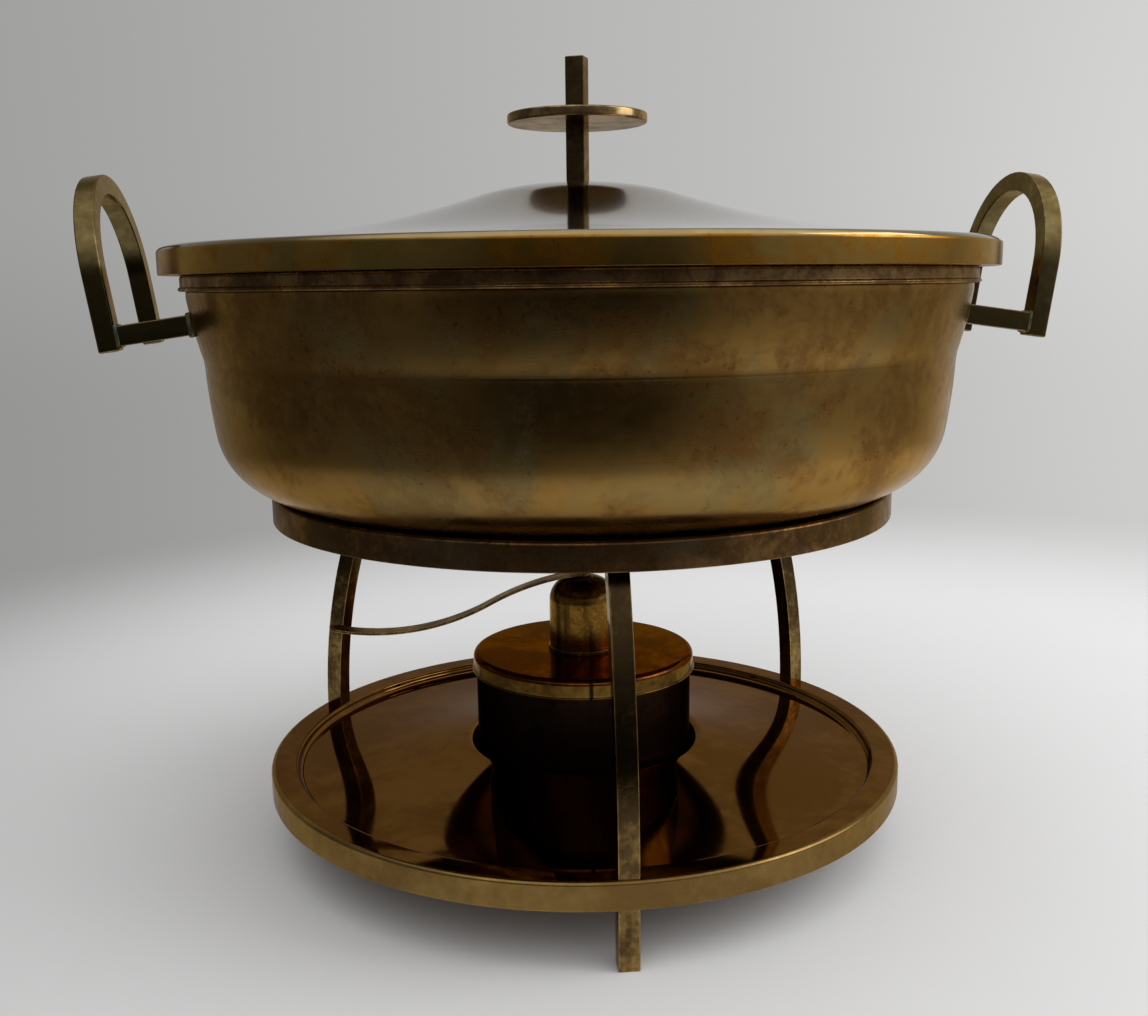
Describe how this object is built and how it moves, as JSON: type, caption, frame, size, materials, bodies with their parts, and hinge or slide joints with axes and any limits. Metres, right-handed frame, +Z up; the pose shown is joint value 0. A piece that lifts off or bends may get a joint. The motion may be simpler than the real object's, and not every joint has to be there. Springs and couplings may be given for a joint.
{
  "type": "chafing dish",
  "caption": "Round brass chafing dish on a footed stand: spirit burner with snuffer in a drip tray, water pan with bar handles, inner food pan and a lift-off domed lid.",
  "frame": {"origin": "on the table, under the middle of the dish, level with the feet", "axes": "+Z up, +X through the right handle, one leg towards -Y, which is the front"},
  "size_m": [0.3018, 0.2582, 0.2506],
  "materials": {
    "stand_brass": "aged brass bar, nicked bright edges",
    "ring_brass": "dark brown patina, mottled",
    "tray_brass": "polished amber brass",
    "pan_brass": "satin brass with brown patina and stains",
    "handle_brass": "olive brass, worn edges, verdigris at the joints",
    "food_pan_brass": "satin brass, cleaner than the outside",
    "lid_brass": "polished brass, brown-gold edge",
    "knob_bronze": "dark bronze brown, golden edge",
    "fastener_brass": "plain brass",
    "burner_brown": "dark glossy red-brown patina, golden skirt",
    "snuffer_brass": "golden brass with dark streaks",
    "wick_cotton": "woven cotton, charred at the top"
  },
  "bodies": {
    "stand": {"support_ring": "ring_brass", "leg_front": "stand_brass", "leg_right": "stand_brass", "leg_left": "stand_brass", "tray": "tray_brass"},
    "pan": {"water_pan": "pan_brass", "handle_right_arch": "handle_brass", "handle_left_arch": "handle_brass", "handle_right_strap_front": "handle_brass", "handle_right_strap_rear": "handle_brass", "handle_left_strap_front": "handle_brass", "handle_left_strap_rear": "handle_brass"},
    "food_pan": {"food_pan": "food_pan_brass"},
    "lid": {"lid_shell": "lid_brass", "lid_seat_ring": "lid_brass", "lid_post": "knob_bronze", "lid_disc": "knob_bronze", "knob_screw": "fastener_brass", "knob_washer": "fastener_brass"},
    "burner": {"burner_cup": "burner_brown"},
    "burner_cover": {"burner_cover": "burner_brown", "wick_tube": "snuffer_brass", "wick": "wick_cotton"},
    "snuffer": {"snuffer_cap": "snuffer_brass", "snuffer_handle": "snuffer_brass", "snuffer_rivet": "fastener_brass"}
  },
  "joints": [
    {"name": "pan_lift", "type": "slide", "parent": "stand", "child": "pan", "axis": [0, 0, 1], "range_m": [0, 0.1]},
    {"name": "food_pan_lift", "type": "slide", "parent": "pan", "child": "food_pan", "axis": [0, 0, 1], "range_m": [0, 0.08]},
    {"name": "lid_lift", "type": "slide", "parent": "food_pan", "child": "lid", "axis": [0, 0, 1], "range_m": [0, 0.1]},
    {"name": "burner_lift", "type": "slide", "parent": "stand", "child": "burner", "axis": [0, 0, 1], "range_m": [0, 0.0094]},
    {"name": "burner_cover_lift", "type": "slide", "parent": "burner", "child": "burner_cover", "axis": [0, 0, 1], "range_m": [0, 0.0067]},
    {"name": "snuffer_lift", "type": "slide", "parent": "burner_cover", "child": "snuffer", "axis": [0, 0, 1], "range_m": [0, 0.0143]}
  ]
}
